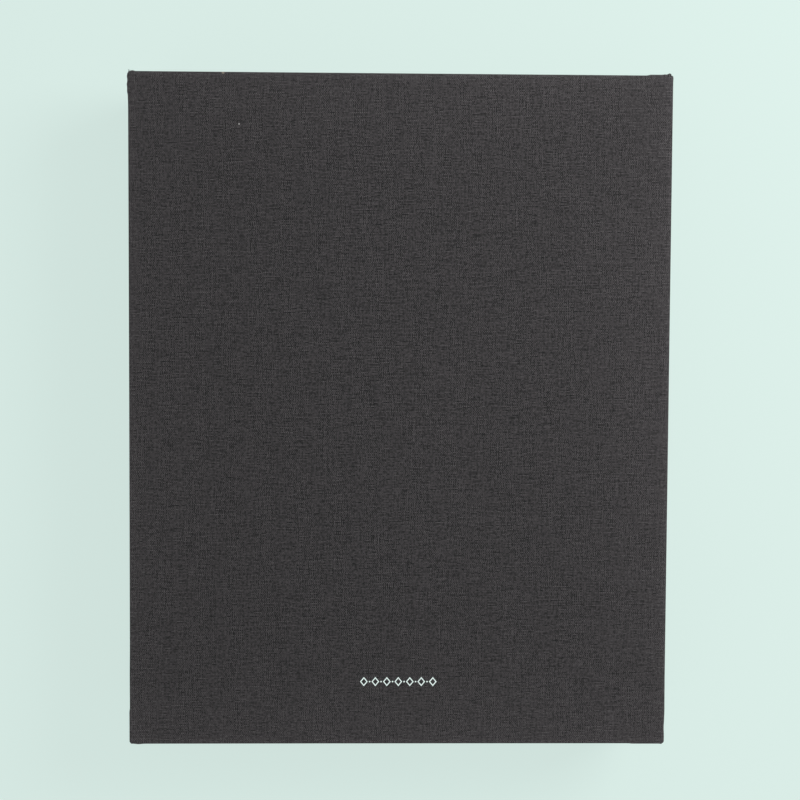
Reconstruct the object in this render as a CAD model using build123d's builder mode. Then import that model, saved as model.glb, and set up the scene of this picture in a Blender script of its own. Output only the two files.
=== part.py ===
from build123d import *
import os
from collections import namedtuple

os.makedirs("parts", exist_ok=True)

# A cloth-covered set-up box lying on its base, with a lift-off lid. Millimetres.
# X is the width, Y the length with the ornament towards -Y, Z is up from the surface it lies on.

# The well of the base, between papered walls and from the papered floor up to the rim
well_width = 205.8  # a print 203.2 wide, with finger room
well_length = 259.3  # a print 254 long, with finger room
well_depth = 38.0

# One thickness of each material
board = 2.0  # greyboard
cloth = 0.4  # bookcloth with its glue
lining = 0.2  # lining paper
stay = 0.15  # gummed paper tape
foil = 0.05  # stamping foil

# How the lid fits over the base
lid_depth = 25.0  # outside, from its face to its lower rim
side_clearance = 0.6  # from the cloth of the base to the lining of the lid
seat_gap = 0.3  # from the rim of the base to the papered ceiling of the lid

# Laps and margins of the cloth and paper
turn_in = 12.0  # cloth carried over a rim and along the inside of the wall
turn_under = 12.0  # side cloth carried under the bottom board
underside_margin = 3.0  # the underside cloth stops this far inside the edge
lining_margin = 3.0  # a wall lining stops this far from the rim
lining_cut = 0.3  # a lining is cut this much short of the one beside it
stay_leg = 10.0  # each half of the tape, from the corner
edge_radius = 0.5  # cloth pulled round the outer edges
rim_radius = 0.3  # cloth pulled round the inner edge of a rim

# The stamped ornament, a chain of open lozenges with small beads between them
lozenge_count = 7
lozenge_pitch = 4.7
lozenge_width = 3.2
lozenge_height = 3.9
lozenge_stroke = 0.45
bead_size = 0.6  # a small square stood on its corner
ornament_from_edge = 25.8  # from the front edge of the lid to the middle of the chain
stamp_depth = 0.12  # how far the cloth is pressed down under the foil

walls = {"left": (-1, 0), "right": (1, 0), "front": (0, -1), "back": (0, 1)}
corners = {"front_left": (-1, -1), "front_right": (1, -1), "back_left": (-1, 1), "back_right": (1, 1)}

# Each tray is measured on its boards: face is the level of the panel's outer side, up is the way
# the walls go from there, and the half sizes reach the inner sides of the walls.
Tray = namedtuple("Tray", "name face up half_width half_length height")

skin = cloth + lining  # what lies on the inner side of a wall where the cloth is turned in
shell = board + cloth
base = Tray(
    name="base",
    face=cloth + cloth,
    up=1,
    half_width=well_width / 2 + skin,
    half_length=well_length / 2 + skin,
    height=board + lining + well_depth - cloth,
)
base_rim = base.face + base.height + cloth
lid = Tray(
    name="lid",
    face=base_rim + seat_gap + lining + board,
    up=-1,
    half_width=base.half_width + shell + side_clearance + skin,
    half_length=base.half_length + shell + side_clearance + skin,
    height=lid_depth - cloth - cloth,
)


def level(tray, depth):
    """Height of a plane that lies this deep in a tray, from the outer side of its panel."""
    return tray.face + tray.up * depth


def save(piece, name):
    piece.part.label = name
    export_step(piece.part, f"parts/{name}.step")
    return piece.part


def slab(tray, start, stop, grow, inner=None, mode=Mode.ADD):
    """A block across the tray, grown from the inner sides of its walls, or a ring if inner is given."""
    with BuildSketch(Plane.XY.offset(level(tray, start))) as outline:
        Rectangle(2 * (tray.half_width + grow), 2 * (tray.half_length + grow))
        if inner is not None:
            Rectangle(2 * (tray.half_width + inner), 2 * (tray.half_length + inner), mode=Mode.SUBTRACT)
    extrude(outline.sketch, amount=tray.up * (stop - start), mode=mode)


def panel_board(tray, name):
    with BuildPart() as panel:
        slab(tray, 0, board, grow=board)
    save(panel, name)


def wall_boards(tray):
    """The long walls run the full length, and the short ones fit between them."""
    for side, (x, y) in walls.items():
        span_x = board if x else 2 * tray.half_width
        span_y = 2 * (tray.half_length + board) if x else board
        with BuildPart() as wall:
            with BuildSketch(Plane.XY.offset(level(tray, board))):
                with Locations((x * (tray.half_width + board / 2), y * (tray.half_length + board / 2))):
                    Rectangle(span_x, span_y)
            extrude(amount=tray.up * (tray.height - board))
        save(wall, f"{tray.name}_wall_{side}")


def corner_stays(tray):
    """Tape folded round the outside of each corner, as tall as the boards."""
    corner_x = tray.half_width + board
    corner_y = tray.half_length + board
    middle = (stay - stay_leg) / 2
    stays = []
    for corner, (x, y) in corners.items():
        with BuildPart() as tape:
            with BuildSketch(Plane.XY.offset(tray.face)):
                with Locations((x * (corner_x + middle), y * (corner_y + middle))):
                    Rectangle(stay_leg + stay, stay_leg + stay)
                with Locations((x * (corner_x - stay_leg / 2), y * (corner_y - stay_leg / 2))):
                    Rectangle(stay_leg, stay_leg, mode=Mode.SUBTRACT)
            extrude(amount=tray.up * tray.height)
        stays.append(save(tape, f"{tray.name}_stay_{corner}"))
    return stays


def wall_linings(tray):
    """Paper up each wall, with a step where it climbs over the cloth that is turned in."""
    inside = tray.height - board
    lap = inside - turn_in
    end = inside + cloth - lining_margin
    for side, (x, y) in walls.items():
        face = tray.half_width if x else tray.half_length
        half_span = tray.half_length - cloth if x else tray.half_width - skin - lining_cut
        outward = Vector(x, y, 0)
        section = Plane(
            origin=(0, 0, level(tray, board)),
            x_dir=outward,
            z_dir=outward.cross(Vector(0, 0, tray.up)),
        )
        with BuildPart() as paper:
            with BuildSketch(section):
                with BuildLine():
                    Polyline(
                        (face, 0),
                        (face, lap),
                        (face - cloth, lap),
                        (face - cloth, end),
                        (face - skin, end),
                        (face - skin, lap - lining),
                        (face - lining, lap - lining),
                        (face - lining, 0),
                        close=True,
                    )
                make_face()
            extrude(amount=half_span, both=True)
        save(paper, f"{tray.name}_lining_{side}")


def panel_lining(tray, name):
    with BuildPart() as paper:
        slab(tray, board, board + lining, grow=-lining - lining_cut)
    save(paper, name)


def covering(tray, stays):
    """Cloth over the outside of a tray, round its rim and in, with room for the tape at the corners."""
    slab(tray, -cloth, tray.height + cloth, grow=shell)
    fillet(edges(), edge_radius)
    slab(tray, 0, tray.height, grow=board, mode=Mode.SUBTRACT)
    slab(tray, tray.height, tray.height + cloth, grow=-cloth, mode=Mode.SUBTRACT)
    slab(tray, tray.height - turn_in, tray.height, grow=0, inner=-cloth)
    rim = faces().sort_by(Axis.Z, reverse=tray.up > 0)[0]
    fillet(rim.inner_wires()[0].edges(), rim_radius)
    add(stays, mode=Mode.SUBTRACT)


def ornament(thickness, mode):
    """The chain of lozenges and beads, up from the floor of its stamped recess in the face of the lid."""
    front = -(lid.half_length + shell)
    with BuildSketch(Plane.XY.offset(lid.face + cloth - stamp_depth)) as chain:
        with Locations((0, front + ornament_from_edge)):
            with GridLocations(lozenge_pitch, 0, lozenge_count, 1):
                add(lozenge.sketch)
            with GridLocations(lozenge_pitch, 0, lozenge_count - 1, 1):
                Rectangle(bead_size, bead_size, rotation=45)
    extrude(chain.sketch, amount=thickness, mode=mode)


with BuildSketch() as lozenge:
    with BuildLine():
        Polyline(
            (lozenge_width / 2, 0),
            (0, lozenge_height / 2),
            (-lozenge_width / 2, 0),
            (0, -lozenge_height / 2),
            close=True,
        )
    make_face()
    offset(amount=-lozenge_stroke, kind=Kind.INTERSECTION, mode=Mode.SUBTRACT)

panel_board(base, "base_bottom_board")
wall_boards(base)
wall_linings(base)
panel_lining(base, "base_floor_lining")
base_stays = corner_stays(base)

with BuildPart() as base_side_cloth:
    covering(base, base_stays)
    slab(base, -cloth, 0, grow=board - turn_under, mode=Mode.SUBTRACT)
save(base_side_cloth, "base_side_cloth")

# The underside cloth lies on the turned-under edges, and rises to the board inside them
with BuildPart() as base_underside_cloth:
    slab(base, -cloth - cloth, -cloth, grow=shell - underside_margin)
    slab(base, -cloth, 0, grow=board - turn_under)
    slab(base, -cloth - cloth, -cloth, grow=board - turn_under - cloth, mode=Mode.SUBTRACT)
save(base_underside_cloth, "base_underside_cloth")

panel_board(lid, "lid_top_board")
wall_boards(lid)
wall_linings(lid)
panel_lining(lid, "lid_ceiling_lining")
lid_stays = corner_stays(lid)

with BuildPart() as lid_cover_cloth:
    covering(lid, lid_stays)
    ornament(stamp_depth, Mode.SUBTRACT)
save(lid_cover_cloth, "lid_cover_cloth")

with BuildPart() as lid_ornament:
    ornament(foil, Mode.ADD)
save(lid_ornament, "lid_ornament")

print(f"outside {2 * (lid.half_width + shell):.1f} x {2 * (lid.half_length + shell):.1f} x {lid.face + cloth:.1f} mm")
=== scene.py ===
import math
import random

import bmesh
import bpy
from mathutils import Euler, Matrix, Vector, noise


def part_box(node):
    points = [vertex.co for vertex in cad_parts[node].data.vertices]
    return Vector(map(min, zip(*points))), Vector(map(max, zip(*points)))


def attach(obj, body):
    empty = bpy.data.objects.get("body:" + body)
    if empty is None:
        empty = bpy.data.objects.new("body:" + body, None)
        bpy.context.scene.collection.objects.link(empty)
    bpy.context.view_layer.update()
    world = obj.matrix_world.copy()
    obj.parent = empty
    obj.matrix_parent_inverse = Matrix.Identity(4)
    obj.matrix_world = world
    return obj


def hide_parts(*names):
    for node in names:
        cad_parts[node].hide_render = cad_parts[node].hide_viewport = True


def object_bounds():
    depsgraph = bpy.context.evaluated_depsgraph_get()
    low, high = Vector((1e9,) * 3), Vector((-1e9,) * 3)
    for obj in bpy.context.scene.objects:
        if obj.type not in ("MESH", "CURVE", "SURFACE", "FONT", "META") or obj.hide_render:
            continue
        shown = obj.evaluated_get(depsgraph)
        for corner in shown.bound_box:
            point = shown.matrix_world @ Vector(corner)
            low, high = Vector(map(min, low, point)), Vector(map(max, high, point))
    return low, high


# A cloth-covered paper box with its lid on, seen from above. Meshes are made in millimetres and
# shrunk to metres as each piece is finished.

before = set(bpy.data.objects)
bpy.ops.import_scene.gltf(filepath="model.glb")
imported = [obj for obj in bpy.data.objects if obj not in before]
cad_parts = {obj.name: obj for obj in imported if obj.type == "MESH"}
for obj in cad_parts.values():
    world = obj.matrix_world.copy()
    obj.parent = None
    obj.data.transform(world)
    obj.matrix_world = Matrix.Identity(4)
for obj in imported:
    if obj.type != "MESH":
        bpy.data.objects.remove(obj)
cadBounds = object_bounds()
scene = bpy.context.scene
scene.view_settings.view_transform = "Standard"


def boxInMm(node):
    low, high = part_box(node)
    return low * 1000, high * 1000


# Shader helpers


def linear(hexColour):
    channels = [int(hexColour[i:i + 2], 16) / 255 for i in (1, 3, 5)]
    return tuple(c / 12.92 if c <= 0.04045 else ((c + 0.055) / 1.055) ** 2.4 for c in channels) + (1.0,)


def newMaterial(name):
    material = bpy.data.materials.new(name)
    material.use_nodes = True
    material.node_tree.nodes.clear()
    return material


def addNode(material, kind, inputs=None, **settings):
    node = material.node_tree.nodes.new(kind)
    for name, value in settings.items():
        setattr(node, name, value)
    for socket, value in (inputs or {}).items():
        if isinstance(value, bpy.types.NodeSocket):
            material.node_tree.links.new(value, node.inputs[socket])
        else:
            node.inputs[socket].default_value = value
    return node


def finishMaterial(m, f, colour, height):
    # What every material of the box ends with: its relief, in mm, and how it takes the light
    bump = addNode(m, "ShaderNodeBump", {"Height": height, "Distance": f["relief"] / 1000}).outputs[0]
    shader = addNode(m, "ShaderNodeBsdfPrincipled", {
        "Base Color": colour, "Metallic": f.get("metal", 0.0), "Roughness": f["roughness"],
        "Specular IOR Level": f["shine"], "Normal": bump})
    addNode(m, "ShaderNodeOutputMaterial", {0: shader.outputs[0]})
    return m


# Bookcloth: cotton in a plain weave, dyed charcoal, backed with paper and calendered flat. It is matt,
# and the eye sees a fine salt-and-pepper grain, with short streaks both ways where a yarn runs thick
# or thin.
clothFinish = {
    "warpSpacing": 0.417,  # mm between yarns that run along Y, 24 to the centimetre
    "weftSpacing": 0.522,  # mm between yarns that run along X, 19 to the centimetre
    "wander": 1.6,  # yarn spacings by which a yarn strays from its straight line
    "wanderOver": 30.0,  # mm along which it does
    "warpStreak": 12.0,  # mm over which one warp yarn changes shade
    "warpStreakDepth": 0.50,
    "weftStreak": 7.0,  # and one weft yarn
    "weftStreakDepth": 0.56,
    "weftPaler": 0.14,  # the weft is paler than the warp
    "standOut": 1.4,  # how strongly a yarn's shade stands out from its neighbours'
    "crossingDepth": 0.40,  # how much one crossing differs from another
    "hollowShadeDepth": 0.4,  # painted shade: how much darker the hollows between the yarns are painted, and how much paler their crowns
    "cloud": 4.0,  # mm over which the dye took a little more or less
    "cloudDepth": 0.06,
    "wearAndSheenDepth": 0.11,  # how much paler the cloth is at the folds and beside the lid's edges: wear at the folds, with painted sheen on them
    "foldPaleReach": 1.6,  # mm from a fold over which that paleness dies away
    "middleTone": 0.328,  # of the way from the dark yarn to the pale one
    "darkYarn": "#070707",
    "paleYarn": "#5B5759",
    "roughness": 0.8,
    "shine": 0.2,
    "relief": 0.08,  # mm from the hollows between the yarns to their crowns
    "dip": 0.65,  # share of its height that a yarn loses where it passes under the next
}

# Marks on the lid's cloth: place on the flat blank and half size in mm, and colour
clothMarks = (
    ((-71.5, 135.8), (0.65, 0.42), "#93887B"),  # a fleck of dry glue on the back fold
    ((-65.1, 115.5), (0.34, 0.30), "#B7B5B4"),  # a pale nub spun into the yarn
)


def makeBookcloth():
    m = newMaterial("bookclothPlainWeaveCharcoal")
    f = clothFinish
    flat = addNode(m, "ShaderNodeUVMap", uv_map="cloth").outputs[0]
    stray = addNode(m, "ShaderNodeTexNoise", {
        "Vector": flat, "Scale": 1 / f["wanderOver"], "Detail": 1.0}).outputs["Color"]
    stray = addNode(m, "ShaderNodeVectorMath", {
        0: stray, 1: (f["wander"],) * 3}, operation="MULTIPLY").outputs[0]
    yarnsPerMm = (1 / f["warpSpacing"], 1 / f["weftSpacing"], 0)
    yarns = addNode(m, "ShaderNodeVectorMath", {
        0: flat, 1: yarnsPerMm, 2: stray}, operation="MULTIPLY_ADD").outputs[0]
    crossing = addNode(m, "ShaderNodeVectorMath", {0: yarns}, operation="FLOOR").outputs[0]
    within = addNode(m, "ShaderNodeVectorMath", {0: yarns}, operation="FRACTION").outputs[0]
    warpNumber, weftNumber = addNode(m, "ShaderNodeSeparateXYZ", {0: crossing}).outputs[:2]
    flatX, flatY = addNode(m, "ShaderNodeSeparateXYZ", {0: flat}).outputs[:2]

    # Plain weave: the warp is on top where the two yarn numbers add up to an odd number
    numbers = addNode(m, "ShaderNodeMath", {0: warpNumber, 1: weftNumber}, operation="ADD").outputs[0]
    warpOnTop = addNode(m, "ShaderNodeMath", {0: numbers, 1: 1.0}, operation="PINGPONG").outputs[0]

    # Each yarn is round across, and dips where it passes under the next
    crowns = []
    for across in addNode(m, "ShaderNodeSeparateXYZ", {0: within}).outputs[:2]:
        angle = addNode(m, "ShaderNodeMath", {0: across, 1: math.pi}, operation="MULTIPLY").outputs[0]
        crowns.append(addNode(m, "ShaderNodeMath", {0: angle}, operation="SINE").outputs[0])
    heights = []
    for crown, other in (crowns, crowns[::-1]):
        left = addNode(m, "ShaderNodeMath", {
            0: other, 1: f["dip"], 2: 1 - f["dip"]}, operation="MULTIPLY_ADD").outputs[0]
        heights.append(addNode(m, "ShaderNodeMath", {0: crown, 1: left}, operation="MULTIPLY").outputs[0])
    height = addNode(m, "ShaderNodeMix", {0: warpOnTop, 2: heights[1], 3: heights[0]}).outputs[0]

    # Shades: each yarn along its length, each crossing, and the dye. A thick yarn hides its neighbours,
    # so each yarn's shade also stands out from those of the two beside it.
    shades = []
    rowStep = 7.31  # steps through the noise so long that two yarns' shades have nothing in common
    shares = ((0, 1 + f["standOut"]), (-1, -f["standOut"] / 2), (1, -f["standOut"] / 2))
    for number, along, name, tint in ((warpNumber, flatY, "warpStreak", -f["weftPaler"]),
                                      (weftNumber, flatX, "weftStreak", f["weftPaler"])):
        run = addNode(m, "ShaderNodeMath", {0: along, 1: 1 / f[name]}, operation="MULTIPLY").outputs[0]
        depth = f[name + "Depth"]
        total = tint - depth / 2
        for step, share in shares:
            row = addNode(m, "ShaderNodeMath", {
                0: number, 1: rowStep, 2: step * rowStep}, operation="MULTIPLY_ADD").outputs[0]
            spot = addNode(m, "ShaderNodeCombineXYZ", {0: row, 1: run, 2: f[name]}).outputs[0]
            shade = addNode(m, "ShaderNodeTexNoise", {
                "Vector": spot, "Scale": 1.0, "Detail": 2.0, "Roughness": 0.6}).outputs[0]
            total = addNode(m, "ShaderNodeMath", {
                0: shade, 1: depth * share, 2: total}, operation="MULTIPLY_ADD").outputs[0]
        shades.append(total)
    tone = addNode(m, "ShaderNodeMix", {0: warpOnTop, 2: shades[1], 3: shades[0]}).outputs[0]
    fleck = addNode(m, "ShaderNodeTexWhiteNoise", {"Vector": crossing}, noise_dimensions="2D").outputs[0]
    cloud = addNode(m, "ShaderNodeTexNoise", {
        "Vector": flat, "Scale": 1 / f["cloud"], "Detail": 1.0}).outputs[0]
    # Paler at the folds and beside the lid's edges: wear, with painted sheen on the folds
    worn = addNode(m, "ShaderNodeAttribute", attribute_name="worn").outputs["Fac"]
    # The yarns' height also paints shade into the hollows between them and a paler tone on their crowns
    for shade, depth in ((fleck, "crossingDepth"), (cloud, "cloudDepth"), (worn, "wearAndSheenDepth"),
                         (height, "hollowShadeDepth")):
        tone = addNode(m, "ShaderNodeMath", {
            0: shade, 1: f[depth], 2: tone}, operation="MULTIPLY_ADD").outputs[0]
    # Three of those run from 0 to 1 all over the cloth, so half of their depths comes off again
    middles = (f["crossingDepth"] + f["cloudDepth"] + f["hollowShadeDepth"]) / 2
    tone = addNode(m, "ShaderNodeMath", {
        0: tone, 1: f["middleTone"] - middles}, operation="ADD", use_clamp=True).outputs[0]
    colour = addNode(m, "ShaderNodeMix", {
        0: tone, 6: linear(f["darkYarn"]), 7: linear(f["paleYarn"])}, data_type="RGBA").outputs[2]
    solid = 0.6  # share of a mark's size out to which it hides the cloth
    for place, size, mark in clothMarks:
        away = addNode(m, "ShaderNodeVectorMath", {
            0: flat, 1: place + (0,)}, operation="SUBTRACT").outputs[0]
        away = addNode(m, "ShaderNodeVectorMath", {
            0: away, 1: (1 / size[0], 1 / size[1], 0)}, operation="MULTIPLY").outputs[0]
        reach = addNode(m, "ShaderNodeVectorMath", {0: away}, operation="LENGTH").outputs["Value"]
        spot = addNode(m, "ShaderNodeMapRange", {0: reach, 1: 1.0, 2: solid}).outputs[0]
        colour = addNode(m, "ShaderNodeMix", {
            0: spot, 6: colour, 7: linear(mark)}, data_type="RGBA").outputs[2]
    return finishMaterial(m, f, colour, height)


# Lining paper: smooth uncoated book paper, warm off-white. It is matt and even, with a faint cloudy
# formation from the pulp and a fine tooth.
paperFinish = {
    "colour": "#EFEAE0",
    "cloudColour": "#E6E0D4",
    "cloud": 5.0,  # mm across a cloud of fibres
    "tooth": 0.35,  # mm, drawn coarser than the real tooth of 0.1 so that it shows
    "mottle": (0.12, 0.42),  # where the mottle is all cloud, and where there is none
    "relief": 0.012,
    "roughness": 0.88,
    "shine": 0.3,
}


def makeLiningPaper():
    m = newMaterial("bookPaperUncoated")
    f = paperFinish
    place = addNode(m, "ShaderNodeTexCoord").outputs["Object"]
    cloud = addNode(m, "ShaderNodeTexNoise", {
        "Vector": place, "Scale": 1000 / f["cloud"], "Detail": 3.0, "Roughness": 0.6}).outputs[0]
    tooth = addNode(m, "ShaderNodeTexNoise", {
        "Vector": place, "Scale": 1000 / f["tooth"], "Detail": 2.0, "Roughness": 0.7}).outputs[0]
    mottle = addNode(m, "ShaderNodeMath", {0: cloud, 1: tooth}, operation="MULTIPLY").outputs[0]
    mottle = addNode(m, "ShaderNodeMapRange", {
        0: mottle, 1: f["mottle"][0], 2: f["mottle"][1]}).outputs[0]
    colour = addNode(m, "ShaderNodeMix", {
        0: mottle, 6: linear(f["cloudColour"]), 7: linear(f["colour"])}, data_type="RGBA").outputs[2]
    return finishMaterial(m, f, colour, tooth)


# Greyboard: unlined board pressed from recycled pulp. Its grey-brown face is flecked with dark and
# pale scraps of the paper that it was made of, and is a little rough.
boardFinish = {
    "colour": "#8F877D",
    "darkFleck": "#5E584F",
    "paleFleck": "#BDB5A8",
    "fleck": 1.4,  # mm
    "pulp": 0.5,
    "darkShare": 0.18,  # share of the cells of the pattern that hold a dark scrap
    "paleShare": 0.12,
    "scrapEdge": (0.75, 0.6),  # where a scrap begins, and where it is solid
    "relief": 0.03,
    "roughness": 0.92,
    "shine": 0.2,
}


def makeGreyboard():
    m = newMaterial("greyboardPressedPulp")
    f = boardFinish
    place = addNode(m, "ShaderNodeTexCoord").outputs["Object"]
    pulp = addNode(m, "ShaderNodeTexNoise", {
        "Vector": place, "Scale": 1000 / f["pulp"], "Detail": 3.0, "Roughness": 0.65}).outputs[0]
    scraps = addNode(m, "ShaderNodeTexVoronoi", {"Vector": place, "Scale": 1000 / f["fleck"]})
    size = addNode(m, "ShaderNodeMath", {0: scraps.outputs[0], 1: pulp}, operation="ADD").outputs[0]
    kind = addNode(m, "ShaderNodeSeparateColor", {0: scraps.outputs[1]})
    colour = addNode(m, "ShaderNodeMix", {
        0: pulp, 6: linear(f["colour"]), 7: linear(f["paleFleck"])}, data_type="RGBA").outputs[2]
    # A few cells are scraps: small spots near the middle of the cell, dark or pale by its random colour
    for channel, scrap in enumerate(("dark", "pale")):
        chosen = addNode(m, "ShaderNodeMath", {
            0: kind.outputs[channel], 1: 1 - f[scrap + "Share"]}, operation="GREATER_THAN").outputs[0]
        spot = addNode(m, "ShaderNodeMapRange", {
            0: size, 1: f["scrapEdge"][0], 2: f["scrapEdge"][1]}).outputs[0]
        spot = addNode(m, "ShaderNodeMath", {0: spot, 1: chosen}, operation="MULTIPLY").outputs[0]
        colour = addNode(m, "ShaderNodeMix", {
            0: spot, 6: colour, 7: linear(f[scrap + "Fleck"])}, data_type="RGBA").outputs[2]
    return finishMaterial(m, f, colour, pulp)


# Gummed kraft tape: brown paper, machine-glazed on one side, with fine ribs along its length from the
# machine and darker fibres. The glaze gives it a low shine.
tapeFinish = {
    "colour": "#B5946B",
    "fibreColour": "#93734C",
    "rib": 0.8,  # mm
    "ribDrawn": 0.14,  # how quickly a rib changes along its length, next to across it
    "fibre": 3.0,
    "fibreEdge": (0.4, 0.62),  # where a fibre is solid, and where it ends
    "relief": 0.015,
    "roughness": 0.55,
    "shine": 0.4,
}


def makeKraftTape():
    m = newMaterial("kraftPaperMachineGlazed")
    f = tapeFinish
    place = addNode(m, "ShaderNodeTexCoord").outputs["Object"]
    drawn = addNode(m, "ShaderNodeVectorMath", {
        0: place, 1: (1000, 1000, 1000 * f["ribDrawn"])}, operation="MULTIPLY").outputs[0]
    ribs = addNode(m, "ShaderNodeTexNoise", {
        "Vector": drawn, "Scale": 1 / f["rib"], "Detail": 2.0}).outputs[0]
    fibres = addNode(m, "ShaderNodeTexNoise", {
        "Vector": place, "Scale": 1000 / f["fibre"], "Detail": 5.0, "Roughness": 0.7,
        "Distortion": 1.2}).outputs[0]
    fibres = addNode(m, "ShaderNodeMapRange", {
        0: fibres, 1: f["fibreEdge"][0], 2: f["fibreEdge"][1]}).outputs[0]
    colour = addNode(m, "ShaderNodeMix", {
        0: fibres, 6: linear(f["fibreColour"]), 7: linear(f["colour"])}, data_type="RGBA").outputs[2]
    return finishMaterial(m, f, colour, ribs)


# Stamping foil: a vacuum-deposited film of aluminium, pressed hot onto the cloth. It is bright satin
# silver that keeps a trace of the weave under it, with a few pinholes where the film didn't take.
foilFinish = {
    "colour": "#F2F2F3",
    "missed": "#8C8B8D",
    "metal": 1.0,
    "roughness": 0.5,
    "shine": 0.5,
    "relief": 0.008,
    "pinhole": 0.3,  # mm
    "pinholeEdge": (0.66, 0.72),  # where a pinhole begins, and where the film is all gone
}


def makeSilverFoil():
    m = newMaterial("aluminiumFoilHotStamped")
    f = foilFinish
    place = addNode(m, "ShaderNodeTexCoord").outputs["Object"]
    pressed = addNode(m, "ShaderNodeVectorMath", {
        0: place, 1: (1000 / clothFinish["warpSpacing"], 1000 / clothFinish["weftSpacing"], 0)},
        operation="MULTIPLY").outputs[0]
    weave = addNode(m, "ShaderNodeTexVoronoi", {
        "Vector": pressed, "Scale": 1.0, "Randomness": 0.35}, feature="SMOOTH_F1").outputs[0]
    pinholes = addNode(m, "ShaderNodeTexNoise", {
        "Vector": place, "Scale": 1000 / f["pinhole"], "Detail": 2.0, "Roughness": 0.7}).outputs[0]
    missing = addNode(m, "ShaderNodeMapRange", {
        0: pinholes, 1: f["pinholeEdge"][0], 2: f["pinholeEdge"][1]}).outputs[0]
    colour = addNode(m, "ShaderNodeMix", {
        0: missing, 6: linear(f["colour"]), 7: linear(f["missed"])}, data_type="RGBA").outputs[2]
    return finishMaterial(m, f, colour, weave)


bookcloth = makeBookcloth()
liningPaper = makeLiningPaper()
greyboard = makeGreyboard()
kraftTape = makeKraftTape()
silverFoil = makeSilverFoil()
finishes = {"lining": liningPaper, "stay": kraftTape, "cloth": bookcloth, "ornament": silverFoil}
for nodeName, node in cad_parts.items():
    finish = next((finishes[word] for word in finishes if word in nodeName), greyboard)
    node.data.materials.clear()
    node.data.materials.append(finish)
print("materials made")

# Folding: a strip of cloth or tape sets off outwards across the panel, and each bend turns it a
# quarter turn the same way, so it goes down the wall, under or over the rim, and back inside.
quarterTurn = math.pi / 2
hair = 0.001  # a difference in mm or radians that is as good as none


def spaced(start, stop, count, bias=1.0):
    # Places after start, up to stop; a bias over 1 crowds them at the start
    return [start + (stop - start) * ((i + 1) / count) ** bias for i in range(count)]


def legLength(leg):
    # A leg is its kind, its length or radius in mm, and how many mesh lines it has and their bias
    return leg[1] if leg[0] == "run" else leg[1] * quarterTurn


def foldLines(legs):
    # Where the mesh has lines across a fold: at the end of each leg, and evenly or unevenly within it
    lines, reached = [], 0.0
    for leg in legs:
        lines += spaced(reached, reached + legLength(leg), leg[2], leg[3])
        reached += legLength(leg)
    return lines


def walkFold(legs, distance):
    # Where a walk along the fold has got to, and the way that it is heading, in radians
    out = rise = heading = 0.0
    for leg in legs:
        step = min(distance, legLength(leg))
        if leg[0] == "run":
            out += step * math.cos(heading)
            rise += step * math.sin(heading)
        else:
            turned = heading + step / leg[1]
            out += leg[1] * (math.sin(turned) - math.sin(heading))
            rise += leg[1] * (math.cos(heading) - math.cos(turned))
            heading = turned
        distance -= step
        if distance <= 0:
            break
    return out, rise, heading


def easeOff(distance, full, gone):
    # 1 up to full, 0 past gone, and a smooth slope between
    share = min(max((gone - distance) / (gone - full), 0.0), 1.0)
    return share * share * (3 - 2 * share)


def sheetOfLines(linesX, linesY, cutFrom=(0, 0)):
    # A flat sheet whose lines lie at these places, in mm. Its UV map is the same, moved to another part
    # of the roll by cutFrom, so that no two pieces have the same weave.
    bm = bmesh.new()
    bmesh.ops.create_grid(bm, x_segments=len(linesX) - 1, y_segments=len(linesY) - 1, size=1)
    for vertex in bm.verts:
        column = round((vertex.co.x + 1) / 2 * (len(linesX) - 1))
        row = round((vertex.co.y + 1) / 2 * (len(linesY) - 1))
        vertex.co = Vector((linesX[column], linesY[row], 0))
    cloth = bm.loops.layers.uv.new("cloth")
    for face in bm.faces:
        for loop in face.loops:
            loop[cloth].uv = loop.vert.co.xy + Vector(cutFrom)
    return bm


def faceTowards(bm, direction):
    # Turns an open sheet over if its outer side looks away from this direction
    bm.normal_update()
    facing = Vector((0, 0, 0))
    for face in bm.faces:
        facing += face.normal * face.calc_area()
    if facing.dot(Vector(direction)) < 0:
        bmesh.ops.reverse_faces(bm, faces=bm.faces)
        bm.normal_update()


def flatArea(bm):
    # Square metres of a sheet that is still flat
    return sum(face.calc_area() for face in bm.faces) / 1e6


def addObject(name, data):
    made = bpy.data.objects.new(name, data)
    scene.collection.objects.link(made)
    return made


def meshOf(bm, name, material):
    mesh = bpy.data.meshes.new(name)
    bm.to_mesh(mesh)
    bm.free()
    mesh.materials.append(material)
    return mesh


def finishPiece(bm, name, body, material, replaced=(), smooth=True):
    bmesh.ops.scale(bm, vec=(0.001, 0.001, 0.001), verts=bm.verts)
    mesh = meshOf(bm, name, material)
    for polygon in mesh.polygons:
        polygon.use_smooth = smooth
    piece = addObject(name, mesh)
    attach(piece, body)
    if replaced:
        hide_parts(*replaced)
    print(f"{name}: {len(mesh.polygons)} faces")
    return piece


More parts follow.
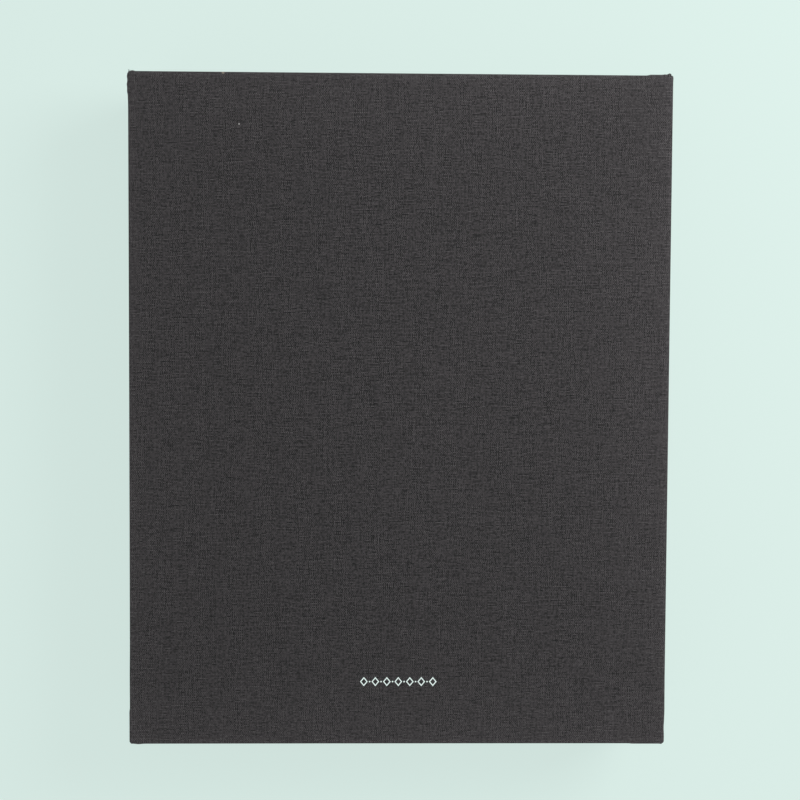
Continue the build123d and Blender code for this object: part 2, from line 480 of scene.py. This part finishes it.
# The lid's cloth is one cross-shaped blank, folded down the four sides, round the rim and in. The
# right flap was pasted first, with tabs round onto the back and front walls. The back and front flaps
# lie over those and have tabs of their own at the left, which the left flap lies over.
lidCloth = {
    "thickness": 0.25,  # pressed; the glue takes up the rest
    "foldRadius": 0.5,
    "rimRadius": 0.3,
    "turnIn": 12.0,
    "rawEdge": 0.8,  # the upper flap stops this far from the corner
    "closeLines": 15.0,  # mm from a corner over which the mesh is fine
    # the corner's upper and lower flap: how far its tab reaches, and how high the upper flap lies on it
    "tabs": {
        "left_back": (9.0, 0.28),
        "left_front": (14.0, 0.22),
        "back_right": (10.0, 0.33),
        "front_right": (14.0, 0.15),
    },
    "tabSlope": (1.0, 0.8),  # mm before and past a tab's end over which the upper flap comes down
    "tabTrim": 0.25,  # mm between a trimmed tab and the upper flap's raw edge
    "cornerRadii": {"left_back": 0.65, "left_front": 0.9, "back_right": 0.7, "front_right": 1.3},
    # side, the end that it lies near, mm from that corner, mm proud, mm to each side
    "puckers": (
        ("left", "back", 2.1, 0.16, 1.0),
        ("left", "back", 5.3, 0.20, 1.3),
        ("left", "back", 9.0, 0.10, 5.5),
        ("left", "front", 24.0, 0.11, 17.0),
        ("back", "right", 1.5, 0.62, 1.1),
        ("back", "right", 3.2, 0.16, 1.6),
        ("back", "left", 1.9, 0.34, 1.0),
        ("front", "left", 3.6, 0.19, 2.4),
        ("front", "right", 1.2, 0.10, 0.8),
        ("right", "front", 6.7, -0.14, 3.6),
        ("right", "front", 14.0, 0.10, 5.0),
        ("right", "back", 1.2, 0.08, 1.4),
    ),
    "puckerDepth": 7.0,  # mm down the side over which a pucker dies away
    "bows": {"left": 0.08, "right": 0.02, "back": 0.02, "front": 0.06},  # hollow along each side
    "shoulder": 0.13,  # mm that the face drops towards its edges, where the board is crushed
    "shoulderReach": 1.3,
    "shoulderDown": 4.0,  # mm down the sides over which they make up for that drop
    # how much paler the cloth is made beside each edge, next to the paleness at a fold
    "edgePaling": {"left": 0.34, "right": 0.48, "back": 0.52, "front": 0.64},
    "edgePalingReach": 26.0,
}
sides = {"left": (0, -1), "right": (0, 1), "front": (1, -1), "back": (1, 1)}  # axis, sign


def sideAt(axis, sign):
    return next(side for side, facing in sides.items() if facing == (axis, sign))


def cornerAt(signX, signY):
    meeting = {sideAt(0, signX), sideAt(1, signY)}
    return next(corner for corner in lidCloth["tabs"] if set(corner.split("_")) == meeting)


def signOf(value):
    return 1 if value > 0 else -1


class LidFold:
    # Where each place of the flat blank goes when the blank is folded over the lid
    def __init__(self):
        c = lidCloth
        low, high = boxInMm("lid_cover_cloth")
        self.top = high.z
        self.half = (high.x, high.y)
        skin = high.z - boxInMm("lid_top_board")[1].z
        rimWidth = high.x - boxInMm("lid_wall_right")[0].x + skin
        r = c["foldRadius"]
        self.r = r
        self.core = [h - r for h in self.half]  # the face as far as its folds
        self.legs = (
            ("bend", r, 5, 1.0),
            ("run", high.z - low.z - 2 * r, 16, 1.7),
            ("bend", r, 4, 1.0),
            ("run", rimWidth - r - c["rimRadius"], 3, 1.0),
            ("bend", c["rimRadius"], 3, 1.0),
            ("run", c["turnIn"] + skin - c["rimRadius"], 5, 1.0),
        )
        self.wallEnd = sum(legLength(leg) for leg in self.legs[:3])
        self.rawGap = c["rawEdge"] - r

    def lines(self, axis):
        # Wide apart over the face and close together near the corners, out to the end of the flap
        core = self.core[axis]
        near = core - lidCloth["closeLines"]
        half = spaced(0, near, 10) + spaced(near, core - self.rawGap, 26, 0.8) + [core]
        half += [core + line for line in foldLines(self.legs)]
        return [-line for line in reversed(half)] + [0] + half

    def overhang(self, flat):
        # How far the place lies past the start of the folds across X and across Y
        return [abs(flat[axis]) - self.core[axis] for axis in (0, 1)]

    # How much paler the cloth is: at the folds from wear, with painted sheen, and beside each edge
    def worn(self, flat):
        over = self.overhang(flat)
        foldPaling = math.exp(-min(abs(distance) for distance in over) / clothFinish["foldPaleReach"])
        edgePaling = [
            lidCloth["edgePaling"][sideAt(axis, signOf(flat[axis]))]
            * math.exp(-((over[axis] / lidCloth["edgePalingReach"]) ** 2))
            for axis in (0, 1)
        ]
        return foldPaling + math.hypot(*edgePaling)

    def foldAxis(self, flat):
        # The axis across the fold of the flap that the place is on, or None on the face
        over = self.overhang(flat)
        if max(over) <= 0:
            return None
        if min(over) > -hair:
            # On the tab, or on the line along which the upper flap was cut from it
            upper = cornerAt(signOf(flat[0]), signOf(flat[1])).split("_")[0]
            return 1 - sides[upper][0]
        return 0 if over[0] > 0 else 1

    def isCutAway(self, flat):
        axis = self.foldAxis(flat)
        if axis is None:
            return False
        over = self.overhang(flat)
        corner = cornerAt(signOf(flat[0]), signOf(flat[1]))
        if min(over) > 0:
            # The tab ends under the upper flap, and is trimmed clear of that flap's own fold
            turned = over[1 - axis] - self.r * quarterTurn
            trimmed = over[axis] < self.r * quarterTurn and turned > self.rawGap + lidCloth["tabTrim"]
            return over[axis] > self.wallEnd or turned > lidCloth["tabs"][corner][0] - self.r or trimmed
        upper = corner.split("_")[0] == sideAt(axis, signOf(flat[axis]))
        return upper and over[1 - axis] > -self.rawGap

    def proud(self, side, corner, fromCorner, rise, upper):
        # How far the cloth stands off the wall: over a tab, and at each pucker
        c = lidCloth
        reach, height = c["tabs"][corner]
        before, past = c["tabSlope"]
        lift = height * easeOff(fromCorner, reach - before, reach + past) if upper else 0.0
        deep = math.exp(-((rise / c["puckerDepth"]) ** 2))
        for name, end, place, tall, wide in c["puckers"]:
            if name == side and end in corner:
                lift += tall * deep * easeOff(abs(fromCorner - place), 0.0, wide)
        return lift

    def place(self, flat):
        axis = self.foldAxis(flat)
        over = self.overhang(flat)
        c = lidCloth
        if axis is None:
            level = math.prod(1 - math.exp(distance / c["shoulderReach"]) for distance in over)
            return Vector((flat[0], flat[1], self.top - c["shoulder"] * (1 - level)))
        sign, end = signOf(flat[axis]), signOf(flat[1 - axis])
        along = abs(flat[1 - axis])
        out, rise, heading = walkFold(self.legs, over[axis])
        side = sideAt(axis, sign)
        corner = cornerAt(signOf(flat[0]), signOf(flat[1]))
        upper = corner.split("_")[0] == side
        fromCorner = self.half[1 - axis] - along
        lift = 0.0
        if over[1 - axis] <= 0:
            lift = self.proud(side, corner, fromCorner, rise, upper)
            lift -= c["bows"][side] * (1 - (along / self.half[1 - axis]) ** 2)
            lift *= max(math.sin(heading), 0.0)
        core, coreAlong = self.core[axis], self.core[1 - axis]
        if over[1 - axis] > 0:
            turn = min(over[1 - axis] / self.r, quarterTurn)
            past = max(over[1 - axis] - self.r * quarterTurn, 0.0)
            outwards, along = core + out * math.cos(turn) - past, coreAlong + out * math.sin(turn)
        else:
            outwards = core + out + lift
            if over[axis] > self.wallEnd - self.r * quarterTurn:
                # The ends draw in to the mitre across the rim
                last = coreAlong - (self.rawGap if upper else 0.0)
                mitre = coreAlong + min(out, 0.0)
                drawn = min((over[axis] - self.wallEnd) / (self.r * quarterTurn) + 1, 1.0)
                along *= 1 + (mitre / last - 1) * drawn
        drop = c["shoulder"] * easeOff(rise, 0.0, c["shoulderDown"])
        point = Vector((0, 0, self.top - rise - drop))
        point[axis] = outwards * sign
        point[1 - axis] = along * end
        if heading > math.pi - hair:
            return point
        return self.rounded(point, c["cornerRadii"][corner], max(lift, 0.0))

    def rounded(self, point, radius, lift):
        # Draws in a place near an upright corner to the corner's radius
        beyond = [abs(point[axis]) - self.half[axis] + radius for axis in (0, 1)]
        far = math.hypot(*beyond)
        if min(beyond) > 0 and far > radius + lift:
            for axis in (0, 1):
                pulled = self.half[axis] - radius + beyond[axis] * (radius + lift) / far
                point[axis] = math.copysign(pulled, point[axis])
        return point


# The stamped chain: seven open lozenges with small beads between, a plain stock ornament
chain = {
    "count": 7,
    "width": 3.2,
    "stroke": 0.45,
    "bead": 0.6,
    "stampDepth": 0.12,
    "foil": 0.05,
    "worn": 0.012,  # the foil's edge is rounded by this much
}


def chainShapes():
    # Middle, half width, half height and stroke of each shape; a bead has no hole
    low, high = boxInMm("lid_ornament")
    middle = (low + high) / 2
    pitch = (high.x - low.x - chain["width"]) / (chain["count"] - 1)
    shapes = []
    for number in range(2 * chain["count"] - 1):
        x = low.x + chain["width"] / 2 + number * pitch / 2
        if number % 2:
            reach = chain["bead"] / math.sqrt(2)
            shapes.append((x, middle.y, reach, reach, None))
        else:
            shapes.append((x, middle.y, chain["width"] / 2, (high.y - low.y) / 2, chain["stroke"]))
    return shapes


def holeShare(halfWidth, halfHeight, stroke):
    # Size of a lozenge's hole as a share of the lozenge
    return 1 - stroke * math.hypot(1 / halfWidth, 1 / halfHeight)


def stampChain(bm, top):
    shapes = chainShapes()
    margin = 0.1  # mm between the chain and the cuts round it
    oneFace = 12  # mm, about the length of the sheet's largest faces
    upright = 0.9  # least height of the unit normal of a face that looks up

    def faceSkin(x, y, reachX, reachY):
        # The upper faces whose middles are this near
        return [
            face for face in bm.faces
            if face.normal.z > upright
            and abs(face.calc_center_median().x - x) < reachX
            and abs(face.calc_center_median().y - y) < reachY
        ]

    def cut(faces, point, normal):
        parts = set(faces)
        for face in faces:
            parts.update(face.edges)
            parts.update(face.verts)
        bmesh.ops.bisect_plane(bm, geom=list(parts), dist=1e-6, plane_co=point, plane_no=normal)

    low, high = boxInMm("lid_ornament")
    middle = (low + high) / 2
    whole = (high - low) / 2
    for axis in (0, 1):
        for sign in (-1, 1):
            edge = middle.copy()
            edge[axis] += sign * (whole[axis] + margin)
            normal = [0, 0, 0]
            normal[axis] = 1
            cut(faceSkin(middle.x, middle.y, whole.x + oneFace, whole.y + oneFace), edge, normal)
    stamped = []
    for x, y, halfWidth, halfHeight, stroke in shapes:
        for sign in (-1, 1):
            here = faceSkin(x, y, oneFace / 2, whole.y + margin)
            cut(here, (x + sign * (halfWidth + margin), y, top), (1, 0, 0))
        shares = [1.0] + ([holeShare(halfWidth, halfHeight, stroke)] if stroke else [])
        for share in shares:
            for signX in (-1, 1):
                for signY in (-1, 1):
                    here = faceSkin(x, y, halfWidth + margin, whole.y + margin)
                    tip = (x + signX * halfWidth * share, y, top)
                    cut(here, tip, (signX / halfWidth, signY / halfHeight, 0))
        for face in faceSkin(x, y, halfWidth + margin, whole.y + margin):
            spot = face.calc_center_median()
            span = abs(spot.x - x) / halfWidth + abs(spot.y - y) / halfHeight
            if span < 1 and (not stroke or span > shares[1]):
                stamped.append(face)
    region = set(stamped)
    for face in stamped:
        region.update(face.edges)
        region.update(face.verts)
    pressed = bmesh.ops.extrude_face_region(bm, geom=list(region))["geom"]
    moved = [part for part in pressed if isinstance(part, bmesh.types.BMVert)]
    bmesh.ops.translate(bm, verts=moved, vec=(0, 0, -chain["stampDepth"]))


def makeLidCover():
    folding = LidFold()
    bm = sheetOfLines(folding.lines(0), folding.lines(1))
    gone = [face for face in bm.faces if folding.isCutAway(face.calc_center_median())]
    bmesh.ops.delete(bm, geom=gone, context="FACES")
    area = flatArea(bm)
    worn = bm.verts.layers.float.new("worn")
    for vertex in bm.verts:
        vertex[worn] = folding.worn(vertex.co)
        vertex.co = folding.place(vertex.co.copy())
    bmesh.ops.remove_doubles(bm, verts=bm.verts, dist=hair / 2)
    bm.normal_update()
    bmesh.ops.solidify(bm, geom=bm.faces[:], thickness=lidCloth["thickness"])
    bm.normal_update()
    stampChain(bm, folding.top)
    piece = finishPiece(bm, "lidCover", "lid", bookcloth, ["lid_cover_cloth"])


makeLidCover()

# Frayed yarn: a few cut ends that stand out of the fold beside the back left corner
yarnEnds = {
    # each tuft: mm from the corner and to each side of that, how many ends, and how long they are
    "tufts": (
        {"from": 0.5, "spread": 0.2, "ends": 6, "long": (0.8, 1.2)},
        {"from": 1.8, "spread": 0.6, "ends": 8, "long": (0.5, 0.8)},
    ),
    "below": (0.3, 1.0),  # mm below the face's edge
    "aside": 0.3,  # how far an end may lean sideways, next to outwards
    "upwards": (-0.1, 0.7),
    "thickness": 0.1,
    "taper": 0.88,  # from one step to the next
    "steps": 5,
    "curl": 12.0,  # degrees at most, at each step
    "seed": 11,
}


def makeFrayedYarn():
    f = yarnEnds
    picked = random.Random(f["seed"])
    low, high = boxInMm("lid_cover_cloth")
    bm = bmesh.new()
    for tuft in [tuft for tuft in f["tufts"] for number in range(tuft["ends"])]:
        start = Vector((
            low.x + tuft["from"] + picked.uniform(-tuft["spread"], tuft["spread"]),
            high.y - lidCloth["thickness"],
            high.z - lidCloth["shoulder"] - picked.uniform(*f["below"]),
        ))
        aside = picked.uniform(-f["aside"], f["aside"])
        heading = Vector((aside, 1, picked.uniform(*f["upwards"]))).normalized()
        bend = Euler([math.radians(picked.uniform(-f["curl"], f["curl"])) for axis in range(3)]).to_matrix()
        step = picked.uniform(*tuft["long"]) / f["steps"]
        end = bmesh.ops.create_circle(bm, cap_ends=True, radius=f["thickness"] / 2, segments=6)["verts"]
        bmesh.ops.rotate(bm, verts=end, matrix=heading.to_track_quat("Z", "Y").to_matrix())
        bmesh.ops.translate(bm, verts=end, vec=start)
        face = end[0].link_faces[0]
        for grown in range(f["steps"]):
            taken = [face, *face.edges, *face.verts] if grown else [face]
            drawn = bmesh.ops.extrude_face_region(bm, geom=taken)["geom"]
            face = next(part for part in drawn if isinstance(part, bmesh.types.BMFace))
            bmesh.ops.translate(bm, verts=face.verts, vec=heading * step)
            aboutTip = Matrix.Translation(-face.calc_center_median())
            bmesh.ops.scale(bm, verts=face.verts, vec=(f["taper"],) * 3, space=aboutTip)
            bmesh.ops.rotate(bm, verts=face.verts, matrix=bend, cent=face.calc_center_median())
            heading.rotate(bend)
    bmesh.ops.recalc_face_normals(bm, faces=bm.faces)
    cloth = bm.loops.layers.uv.new("cloth")
    for face in bm.faces:
        for loop in face.loops:
            loop[cloth].uv = loop.vert.co.xy
    finishPiece(bm, "frayedYarn", "lid", bookcloth)


makeFrayedYarn()


def makeFoilChain():
    bm = bmesh.new()
    top = boxInMm("lid_ornament")[0].z
    for x, y, halfWidth, halfHeight, stroke in chainShapes():
        ring = bmesh.ops.create_circle(bm, cap_ends=True, radius=1, segments=4)["verts"]
        bmesh.ops.scale(bm, vec=(halfWidth, halfHeight, 1), verts=ring)
        bmesh.ops.translate(bm, vec=(x, y, top), verts=ring)
        face = ring[0].link_faces[0]
        foil = [face]
        if stroke:
            foil = bmesh.ops.inset_region(
                bm, faces=foil, thickness=stroke, use_boundary=True, use_even_offset=True)["faces"]
            bmesh.ops.delete(bm, geom=[face], context="FACES")
        raised = bmesh.ops.extrude_face_region(bm, geom=foil, use_keep_orig=True)["geom"]
        upper = [part for part in raised if isinstance(part, bmesh.types.BMVert)]
        bmesh.ops.translate(bm, vec=(0, 0, chain["foil"]), verts=upper)
    bmesh.ops.recalc_face_normals(bm, faces=bm.faces)
    sharp = 1.0  # radians; of the upper edges only the rims turn by more
    rims = [
        edge for edge in bm.edges
        if all(vertex.co.z > top + chain["foil"] / 2 for vertex in edge.verts)
        and not edge.is_boundary
        and edge.calc_face_angle(0) > sharp
    ]
    bmesh.ops.bevel(
        bm, geom=rims, offset=chain["worn"], segments=2, profile=0.5, affect="EDGES", material=-1)
    finishPiece(bm, "foilChain", "lid", silverFoil, ["lid_ornament"], smooth=False)


makeFoilChain()

# The base's side cloth is one strip round the walls. It turns under the bottom board, goes up the
# wall, over the rim and in, and its ends lap on the back wall near the left corner.
sideCloth = {
    "thickness": 0.25,
    "foldRadius": 0.5,
    "rimRadius": 0.3,
    "turnIn": 12.0,
    "turnUnder": 12.0,
    "lapFromCorner": 17.0,  # where the strip starts, along the back wall
    "lap": 12.0,
    "lapSlope": (1.2, 0.3),  # mm before and past its start over which it climbs onto the other end
    "lapHeight": 0.27,
    "lapOnRim": 0.13,  # pressed harder on the rim
    "lapCovered": 0.02,  # and pressed flat under the lining and under the box
}


class StripPath:
    # Runs round a tray anticlockwise from above: the back, the left, the front and the right
    turns = ((Vector((-1, 0)), Vector((0, 1))), (Vector((0, -1)), Vector((-1, 0))),
             (Vector((1, 0)), Vector((0, -1))), (Vector((0, 1)), Vector((1, 0))))  # heading, outwards

    def __init__(self, core, radius, fromCorner):
        self.core = Vector(core)
        self.radius = radius
        self.arc = radius * quarterTurn
        self.spans = [2 * self.core.x, 2 * self.core.y] * 2
        self.begin = self.spans[0] - fromCorner
        self.round = sum(self.spans) + 4 * self.arc

    def lines(self, extra):
        # Close together near the corners and at the lap
        near, tooClose = 12, 0.02  # mm
        lines, reached = [0.0], -self.begin
        for span in self.spans + self.spans[:1]:
            far = reached + span
            lines += spaced(reached, far, 18) + spaced(far, far + self.arc, 4)
            lines += spaced(reached, reached + near, 6, 1.4) + spaced(far, far - near, 6, 1.4)
            reached = far + self.arc
        end = self.round + extra
        lines += spaced(self.round - 2, self.round + 1, 8) + spaced(end - 1, end, 2)
        kept = []
        for line in sorted(line for line in lines if 0 <= line <= end + 1e-6):
            if not kept or line - kept[-1] > tooClose:
                kept.append(line)
        return kept

    def place(self, distance, out):
        # out is how far the cloth lies beyond the start of the corner's rounding, less than 0 inside
        distance = (distance + self.begin) % self.round
        for (heading, outwards), span in zip(self.turns, self.spans):
            reach = abs(self.core.dot(outwards))
            if distance <= span:
                along = (distance - span / 2) * (1 + min(out, 0.0) / (span / 2))
                return outwards * (reach + out) + heading * along
            distance -= span
            if distance <= self.arc:
                corner = outwards * reach + heading * (span / 2)
                if out <= 0:
                    return corner + (outwards + heading) * out
                turn = distance / self.radius
                return corner + (outwards * math.cos(turn) + heading * math.sin(turn)) * out
            distance -= self.arc
        return self.place(0.0, out)


def makeBaseSideCloth():
    c = sideCloth
    low, high = boxInMm("base_side_cloth")
    r = c["foldRadius"]
    skin = boxInMm("base_bottom_board")[0].z - low.z
    rimWidth = high.x - boxInMm("base_wall_right")[0].x + skin
    path = StripPath((high.x - r, high.y - r), r, c["lapFromCorner"])
    legs = (
        ("run", c["turnUnder"] + skin - r, 4, 1.0),
        ("bend", r, 4, 1.0),
        ("run", high.z - low.z - 2 * r, 12, 1.0),
        ("bend", r, 5, 1.0),
        ("run", rimWidth - r - c["rimRadius"], 3, 1.0),
        ("bend", c["rimRadius"], 3, 1.0),
        ("run", c["turnIn"] + skin - c["rimRadius"], 5, 1.0),
    )
    bm = sheetOfLines(path.lines(c["lap"]), [0.0] + foldLines(legs), cutFrom=(300, 300))
    area = flatArea(bm)
    worn = bm.verts.layers.float.new("worn")
    bends = (legs[0][1] + r * quarterTurn / 2, sum(legLength(leg) for leg in legs[:3]) + r)
    for vertex in bm.verts:
        along, across = vertex.co.x, vertex.co.y
        out, rise, heading = walkFold(legs, across)
        lapping = 1 - easeOff(along, path.round - c["lapSlope"][0], path.round + c["lapSlope"][1])
        wallLap = c["lapHeight"] if heading < math.pi else c["lapCovered"]
        flatLap = c["lapCovered"] if heading < quarterTurn else c["lapOnRim"]
        out += lapping * wallLap * math.sin(heading) - legs[0][1]
        rise -= lapping * flatLap * math.cos(heading)
        spot = path.place(along, out)
        # Paler at the bends: wear, with painted sheen
        fromBend = min(max(abs(across - bend) - r, 0) for bend in bends)
        vertex[worn] = math.exp(-fromBend / clothFinish["foldPaleReach"])
        vertex.co = Vector((spot.x, spot.y, low.z + rise))
    bmesh.ops.remove_doubles(bm, verts=bm.verts, dist=hair / 2)
    bm.normal_update()
    bmesh.ops.solidify(bm, geom=bm.faces[:], thickness=c["thickness"])
    piece = finishPiece(bm, "baseSideCloth", "base", bookcloth, ["base_side_cloth"])


makeBaseSideCloth()

# The underside cloth is pasted over the turned-under edges and sinks to the board inside them
underCloth = {"thickness": 0.34, "slope": 2.5, "edgeLines": 6}


def makeBaseUnderside():
    low, high = boxInMm("base_underside_cloth")
    sideLow, sideHigh = boxInMm("base_side_cloth")
    sunk = sideLow.z - low.z
    edge = [high[axis] - (sideHigh[axis] - sunk - sideCloth["turnUnder"]) for axis in (0, 1)]

    def lines(axis):
        step = high[axis] - edge[axis]
        half = spaced(0, step - underCloth["slope"], 12) + spaced(step - underCloth["slope"], step, 5)
        half += spaced(step, high[axis], underCloth["edgeLines"])
        return [-line for line in reversed(half)] + [0] + half

    bm = sheetOfLines(lines(0), lines(1), cutFrom=(600, 600))
    for vertex in bm.verts:
        inside = min(high[axis] - edge[axis] - abs(vertex.co[axis]) for axis in (0, 1))
        vertex.co.z = low.z + sunk * (1 - easeOff(inside, 0.0, underCloth["slope"]))
    faceTowards(bm, (0, 0, -1))
    bmesh.ops.solidify(bm, geom=bm.faces[:], thickness=underCloth["thickness"])
    piece = finishPiece(bm, "baseUnderside", "base", bookcloth, ["base_underside_cloth"])


makeBaseUnderside()

# Wall linings: paper pasted up the wall, with a soft step where it climbs over the turned-in cloth
wallPaper = {
    "thickness": 0.18,
    "room": 0.2,  # mm from the wall to the paper's face
    "stepSlope": 1.6,
    "cockle": 0.035,  # mm of slight bubbling, as pasted paper has
    "cockleSize": 22.0,
}


def makeWallLining(tray, side, up):
    name = f"{tray}_lining_{side}"
    low, high = boxInMm(name)
    axis, sign = sides[side]
    board = boxInMm(f"{tray}_wall_{side}")
    wallFace = abs(board[0][axis] if sign > 0 else board[1][axis])
    turnedIn = wallFace - min(abs(low[axis]), abs(high[axis])) - wallPaper["room"]
    tall = high.z - low.z
    sheetBox = boxInMm("base_side_cloth" if tray == "base" else "lid_cover_cloth")
    rim = sheetBox[1].z if up > 0 else sheetBox[0].z
    start = low.z if up > 0 else high.z
    climb = abs(rim - start) - sideCloth["turnIn"] - turnedIn
    along = high[1 - axis] - low[1 - axis]
    slope = wallPaper["stepSlope"]
    rows = [0.0] + spaced(0, climb - slope, 6) + spaced(climb - slope, climb, 6) + spaced(climb, tall, 6)
    columns = [-along / 2] + spaced(-along / 2, along / 2, 48)
    bm = sheetOfLines(columns, rows)
    size = wallPaper["cockleSize"]
    for vertex in bm.verts:
        x, height = vertex.co.x, vertex.co.y
        step = turnedIn * (1 - easeOff(height, climb - slope, climb))
        spot = Vector((x / size, height / size, 7.0 * axis + sign + up))  # differs within each tray
        bubble = wallPaper["cockle"] * (0.5 + 0.5 * noise.noise(spot))
        depth = wallFace - wallPaper["room"] - step - bubble
        point = Vector((0, 0, start + up * height))
        point[axis] = sign * depth
        point[1 - axis] = x
        vertex.co = point
    inwards = Vector((0, 0, 0))
    inwards[axis] = -sign
    faceTowards(bm, inwards)
    bmesh.ops.solidify(bm, geom=bm.faces[:], thickness=wallPaper["thickness"])
    finishPiece(bm, f"{tray}Lining{side.capitalize()}", tray, liningPaper, [name])


def makePanelLining(tray, panel, up):
    # The paper on the base's floor and on the lid's ceiling
    name = f"{tray}_{panel}_lining"
    low, high = boxInMm(name)
    surface = high.z if up > 0 else low.z
    lines = [[-high[axis]] + spaced(-high[axis], high[axis], 40) for axis in (0, 1)]
    bm = sheetOfLines(*lines)
    for vertex in bm.verts:
        spot = vertex.co / wallPaper["cockleSize"] + Vector((0, 0, 3.0 * up))
        bubble = wallPaper["cockle"] * (0.5 + 0.5 * noise.noise(spot))
        vertex.co.z = surface - up * (wallPaper["cockle"] - bubble) / 2
    faceTowards(bm, (0, 0, up))
    bmesh.ops.solidify(bm, geom=bm.faces[:], thickness=wallPaper["thickness"])
    finishPiece(bm, f"{tray}Lining{panel.capitalize()}", tray, liningPaper, [name])


for tray, up in (("base", 1), ("lid", -1)):
    for side in sides:
        makeWallLining(tray, side, up)
makePanelLining("base", "floor", 1)
makePanelLining("lid", "ceiling", -1)

# Corner tapes: gummed paper folded round the outside of each corner of the boards and pulled down
# over its edge, under the cloth
cornerTape = {"thickness": 0.15, "cornerRadius": 0.52, "short": 0.4}  # short of the boards at each end


def makeCornerTape(tray, corner):
    name = f"{tray}_stay_{corner}"
    low, high = boxInMm(name)
    radius = cornerTape["cornerRadius"]
    legs = (
        ("run", high.x - low.x - radius, 5, 1.0),
        ("bend", radius, 6, 1.0),
        ("run", high.y - low.y - radius, 5, 1.0),
    )
    bottom, top = low.z + cornerTape["short"], high.z - cornerTape["short"]
    bm = sheetOfLines([0.0] + foldLines(legs), [bottom] + spaced(bottom, top, 8))
    sign = (signOf(low.x), signOf(low.y))
    for vertex in bm.verts:
        out, rise = walkFold(legs, vertex.co.x)[:2]
        plan = (out + min(abs(low.x), abs(high.x)), max(abs(low.y), abs(high.y)) - rise)
        vertex.co = Vector((sign[0] * plan[0], sign[1] * plan[1], vertex.co.y))
    faceTowards(bm, (*sign, 0))
    bmesh.ops.solidify(bm, geom=bm.faces[:], thickness=cornerTape["thickness"])
    words = "".join(word.capitalize() for word in corner.split("_"))
    finishPiece(bm, f"{tray}Tape{words}", tray, kraftTape, [name])


for tray in ("base", "lid"):
    for corner in ("front_left", "front_right", "back_left", "back_right"):
        makeCornerTape(tray, corner)

# The stage: camera, floor and light

view = {
    "fieldOfView": 25.0,
    "turn": (3.3617, 1.4912, -0.2337),  # degrees by which the face is turned from square on
    "offset": (-0.064, -4.930, -731.51),  # mm from the camera to the middle of the face
}
lidTop = cadBounds[1].z
cameraData = bpy.data.cameras.new("camera")
cameraData.angle = math.radians(view["fieldOfView"])
camera = addObject("camera", cameraData)
turned = Euler([math.radians(a) for a in view["turn"]], "XYZ").to_matrix().to_4x4()
standBack = Matrix.Translation(-Vector(view["offset"]) / 1000)
camera.matrix_world = Matrix.Translation((0, 0, lidTop)) @ turned.inverted() @ standBack
scene.camera = camera
print("camera set")

backdrop = {
    "colour": "#DAEDE7",
    "width": 6.0,
    "drop": 0.0002,  # metres below the box, so that the two faces don't lie in one plane
    "steady": 0.85,  # share of its look that doesn't depend on the light, near the box
    "evenFrom": 0.3,  # metres from the middle over which that rises to all of it, up to the horizon
    "evenAt": 0.9,
}


def makeFloor():
    m = newMaterial("paperBackdrop")
    rays = addNode(m, "ShaderNodeLightPath")
    lit = addNode(m, "ShaderNodeBsdfDiffuse", {0: linear(backdrop["colour"])})
    steady = addNode(m, "ShaderNodeEmission", {0: linear(backdrop["colour"]), 1: 1.0})
    place = addNode(m, "ShaderNodeTexCoord").outputs["Object"]
    away = addNode(m, "ShaderNodeVectorMath", {0: place}, operation="LENGTH").outputs["Value"]
    share = addNode(m, "ShaderNodeMapRange", {
        0: away, 1: backdrop["evenFrom"], 2: backdrop["evenAt"], 3: backdrop["steady"], 4: 1.0}).outputs[0]
    seen = addNode(m, "ShaderNodeMath", {0: rays.outputs["Is Camera Ray"], 1: share},
                   operation="MULTIPLY").outputs[0]
    mixed = addNode(m, "ShaderNodeMixShader", {0: seen, 1: lit.outputs[0], 2: steady.outputs[0]})
    addNode(m, "ShaderNodeOutputMaterial", {0: mixed.outputs[0]})
    bm = bmesh.new()
    bmesh.ops.create_grid(bm, x_segments=4, y_segments=4, size=backdrop["width"] / 2)
    bmesh.ops.translate(bm, verts=bm.verts, vec=(0, 0, -backdrop["drop"]))
    addObject("floor", meshOf(bm, "floor", m))


makeFloor()
print("floor made")

light = {
    "sky": 0.35,  # how strongly an even white sky lights the box
    # each lamp: metres from the middle of the face, metres across, and power
    "lamps": {
        "key": ((0.60, 0.37, 0.51), 0.5, 8.3),
        "fill": ((-0.80, -0.90, 0.12), 0.8, 5.0),
    },
}
world = bpy.data.worlds.new("studio")
scene.world = world
world.use_nodes = True
world.node_tree.nodes.clear()

# The camera and reflections see the backdrop's colour, and other light comes from an even sky
rays = addNode(world, "ShaderNodeLightPath").outputs
seen = rays["Is Camera Ray"]
for ray in ("Is Glossy Ray", "Is Transmission Ray"):
    seen = addNode(world, "ShaderNodeMath", {0: seen, 1: rays[ray]}, operation="MAXIMUM").outputs[0]
sky = addNode(world, "ShaderNodeBackground", {0: (1, 1, 1, 1), 1: light["sky"]}).outputs[0]
behind = addNode(world, "ShaderNodeBackground", {0: linear(backdrop["colour"]), 1: 1.0}).outputs[0]
both = addNode(world, "ShaderNodeMixShader", {0: seen, 1: sky, 2: behind}).outputs[0]
addNode(world, "ShaderNodeOutputWorld", {0: both})

for name, (place, size, power) in light["lamps"].items():
    lampData = bpy.data.lights.new(name, "AREA")
    lampData.size = size
    lampData.energy = power
    lamp = addObject(name, lampData)
    lamp.location = Vector(place) + Vector((0, 0, lidTop))
    lamp.rotation_mode = "QUATERNION"
    lamp.rotation_quaternion = Vector(place).to_track_quat("Z", "Y")
print("lamps:", ", ".join(light["lamps"]))
